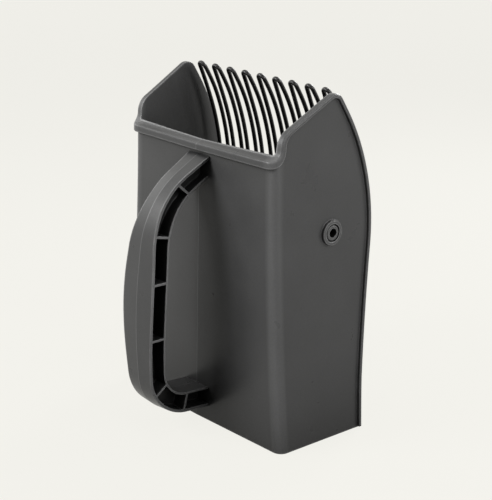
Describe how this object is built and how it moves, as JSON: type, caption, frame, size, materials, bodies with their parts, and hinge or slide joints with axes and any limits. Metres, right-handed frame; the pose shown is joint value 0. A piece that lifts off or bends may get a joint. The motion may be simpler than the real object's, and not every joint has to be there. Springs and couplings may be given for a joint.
{
  "type": "berry picking rake",
  "caption": "Scoop with a hoop handle on its back wall, a comb of bowed wire hairpins across its open front and a swinging flap inside. It stands on its closed end.",
  "frame": {"origin": "On the flat face of the closed end, in the plane of symmetry, level with the back corners of the box.", "axes": "+X across the width, the plane x = 0 being the plane of symmetry. +Y from the back wall with the handle towards the tines. +Z from the closed end up to the mouth."},
  "size_m": [0.1628, 0.1244, 0.2102],
  "materials": {
    "body_plastic": "fine-grained matte dark grey",
    "flap_plastic": "fine-grained matte dark grey",
    "pin_plastic": "smooth dark grey",
    "wire": "glossy black coating"
  },
  "bodies": {
    "body": {"box_shell": "body_plastic", "handle": "body_plastic", "front_panel": "body_plastic", "tine_1": "wire", "tine_2": "wire", "tine_3": "wire", "tine_4": "wire", "tine_5": "wire", "tine_6": "wire", "tine_7": "wire", "tine_8": "wire", "tine_9": "wire", "flap_pin_right": "pin_plastic", "flap_pin_left": "pin_plastic"},
    "flap": {"flap": "flap_plastic"}
  },
  "joints": [
    {"name": "flap_hinge", "type": "hinge", "parent": "body", "child": "flap", "pos_m": [0, 0.04708, 0.12648], "axis": [1, 0, 0], "range_deg": [-234, 48]}
  ]
}
